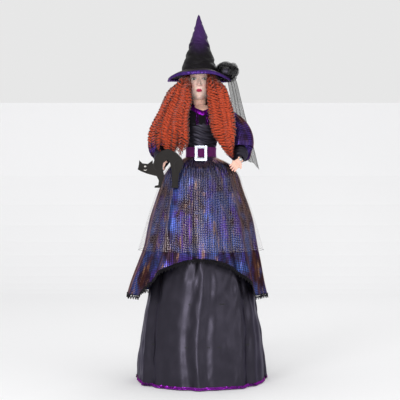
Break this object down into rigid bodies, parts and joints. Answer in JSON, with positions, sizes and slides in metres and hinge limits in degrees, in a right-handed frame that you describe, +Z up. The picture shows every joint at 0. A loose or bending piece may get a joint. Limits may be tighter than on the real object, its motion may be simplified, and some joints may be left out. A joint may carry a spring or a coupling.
{
  "type": "animated witch figure",
  "caption": "Standing dressed witch doll with pointed hat, tiered skirts and a cat cut-out; its head turns and its forearms rise on a battery drive in the chest.",
  "frame": {"origin": "centre of the base pad's underside, on the floor", "axes": "+Z up, -Y is the figure's front, +X is the witch's left"},
  "size_m": [0.3364, 0.3301, 0.914],
  "materials": {
    "pad_rubber": "matt foam rubber",
    "base_board": "raw fibreboard",
    "black_steel": "satin black powder coat",
    "zinc_steel": "zinc plated",
    "ground_steel": "ground",
    "black_plastic": "moulded, fine grain",
    "red_plastic": "moulded, gloss",
    "cell_wrap": "printed film",
    "wire_jacket": "pvc jacket",
    "gear_acetal": "white acetal",
    "motor_case": "drawn case",
    "torso_vinyl": "moulded shell",
    "skin_vinyl": "soft matt vinyl",
    "black_satin": "satin weave",
    "violet_lame": "iridescent metallic knit",
    "glitter_tulle": "net with glitter dots",
    "black_lace": "scalloped lace",
    "purple_velvet": "pile",
    "buckle_chrome": "set with clear stones",
    "purple_foil": "metallic braid",
    "hat_felt": "crushed velour",
    "auburn_hair": "curled synthetic fibre",
    "black_net": "stiff tulle",
    "cat_board": "flat dark print"
  },
  "bodies": {
    "figure": {"arm_gearmotor": "motor_case", "base_pad": "pad_rubber", "base_plate": "base_board", "base_screws": "zinc_steel", "batteries": "cell_wrap", "belt": "purple_velvet", "bodice": "black_satin", "buckle": "buckle_chrome", "chassis": "zinc_steel", "chest_back_shell": "torso_vinyl", "chest_front_shell": "torso_vinyl", "collar": "purple_foil", "control_box": "black_plastic", "elbow_blocks": "black_plastic", "elbow_pins": "ground_steel", "head_gearmotor": "motor_case", "hoop_ribs": "black_steel", "hoop_rings": "black_steel", "lace_trim": "black_lace", "net_overskirt": "glitter_tulle", "overskirt": "violet_lame", "post": "black_steel", "post_flange": "black_steel", "shaft_bushes": "gear_acetal", "sleeve_left": "violet_lame", "sleeve_right": "violet_lame", "speaker": "black_plastic", "underskirt": "black_satin", "upper_arms": "zinc_steel", "veil_lower": "black_net", "wig_locks_back": "auburn_hair", "wig_locks_left": "auburn_hair", "wig_locks_right": "auburn_hair", "wiring_loom": "wire_jacket"},
    "head": {"head_shell": "skin_vinyl", "neck_shaft": "ground_steel", "head_gear": "gear_acetal", "wig_crown": "auburn_hair", "hat_cone": "hat_felt", "hat_brim": "hat_felt", "hat_binding": "purple_foil", "hat_rosette": "black_net", "veil_upper": "black_net"},
    "head_pinion": {"head_pinion": "gear_acetal"},
    "arm_shaft": {"arm_shaft": "ground_steel", "arm_cranks": "zinc_steel", "arm_gear": "gear_acetal"},
    "arm_pinion": {"arm_pinion": "gear_acetal"},
    "pushrod_left": {"pushrod_left": "zinc_steel"},
    "pushrod_right": {"pushrod_right": "zinc_steel"},
    "forearm_left": {"forearm_left": "zinc_steel", "hand_left": "skin_vinyl", "cuff_left": "black_satin"},
    "forearm_right": {"forearm_right": "zinc_steel", "hand_right": "skin_vinyl", "cuff_right": "black_satin", "cat_board": "cat_board"},
    "power_switch": {"switch_knob": "black_plastic"},
    "try_me_button": {"try_me_button": "red_plastic"},
    "battery_door": {"battery_door": "black_plastic"}
  },
  "joints": [
    {"name": "head_turn", "type": "hinge", "parent": "figure", "child": "head", "pos_m": [0, 0, 0.652], "axis": [0, 0, 1], "range_deg": [-30, 30]},
    {"name": "head_pinion_spin", "type": "hinge", "parent": "figure", "child": "head_pinion", "pos_m": [0, 0.021, 0.652], "axis": [0, 0, 1], "range_deg": [-60, 60]},
    {"name": "arm_swing", "type": "hinge", "parent": "figure", "child": "arm_shaft", "pos_m": [0, 0, 0.636], "axis": [1, 0, 0], "range_deg": [-20, 0]},
    {"name": "arm_pinion_spin", "type": "hinge", "parent": "figure", "child": "arm_pinion", "pos_m": [0.006, 0, 0.616], "axis": [1, 0, 0], "range_deg": [0, 30]},
    {"name": "pushrod_left_pivot", "type": "hinge", "parent": "arm_shaft", "child": "pushrod_left", "pos_m": [0.0885, 0.012, 0.636], "axis": [1, 0, 0], "range_deg": [0, 20]},
    {"name": "pushrod_right_pivot", "type": "hinge", "parent": "arm_shaft", "child": "pushrod_right", "pos_m": [-0.0885, 0.012, 0.636], "axis": [1, 0, 0], "range_deg": [0, 20]},
    {"name": "elbow_left", "type": "hinge", "parent": "figure", "child": "forearm_left", "pos_m": [0.096, 0, 0.578], "axis": [1, 0, 0], "range_deg": [-20, 0]},
    {"name": "elbow_right", "type": "hinge", "parent": "figure", "child": "forearm_right", "pos_m": [-0.096, 0, 0.578], "axis": [1, 0, 0], "range_deg": [-20, 0]},
    {"name": "power_switch_slide", "type": "slide", "parent": "figure", "child": "power_switch", "axis": [0, 1, 0], "range_m": [0, 0.006]},
    {"name": "try_me_button_press", "type": "slide", "parent": "figure", "child": "try_me_button", "axis": [-1, 0, 0], "range_m": [0, 0.002], "stiffness_N_per_m": 300},
    {"name": "battery_door_hinge", "type": "hinge", "parent": "figure", "child": "battery_door", "pos_m": [0, 0.112, 0.057], "axis": [-1, 0, 0], "range_deg": [0, 100]}
  ],
  "couplings": [
    {"joint": "head_pinion_spin", "follows": "head_turn", "ratio": -2},
    {"joint": "arm_pinion_spin", "follows": "arm_swing", "ratio": -1.5},
    {"joint": "pushrod_left_pivot", "follows": "arm_swing", "ratio": -1},
    {"joint": "pushrod_right_pivot", "follows": "arm_swing", "ratio": -1},
    {"joint": "elbow_left", "follows": "arm_swing", "ratio": 1},
    {"joint": "elbow_right", "follows": "arm_swing", "ratio": 1}
  ]
}
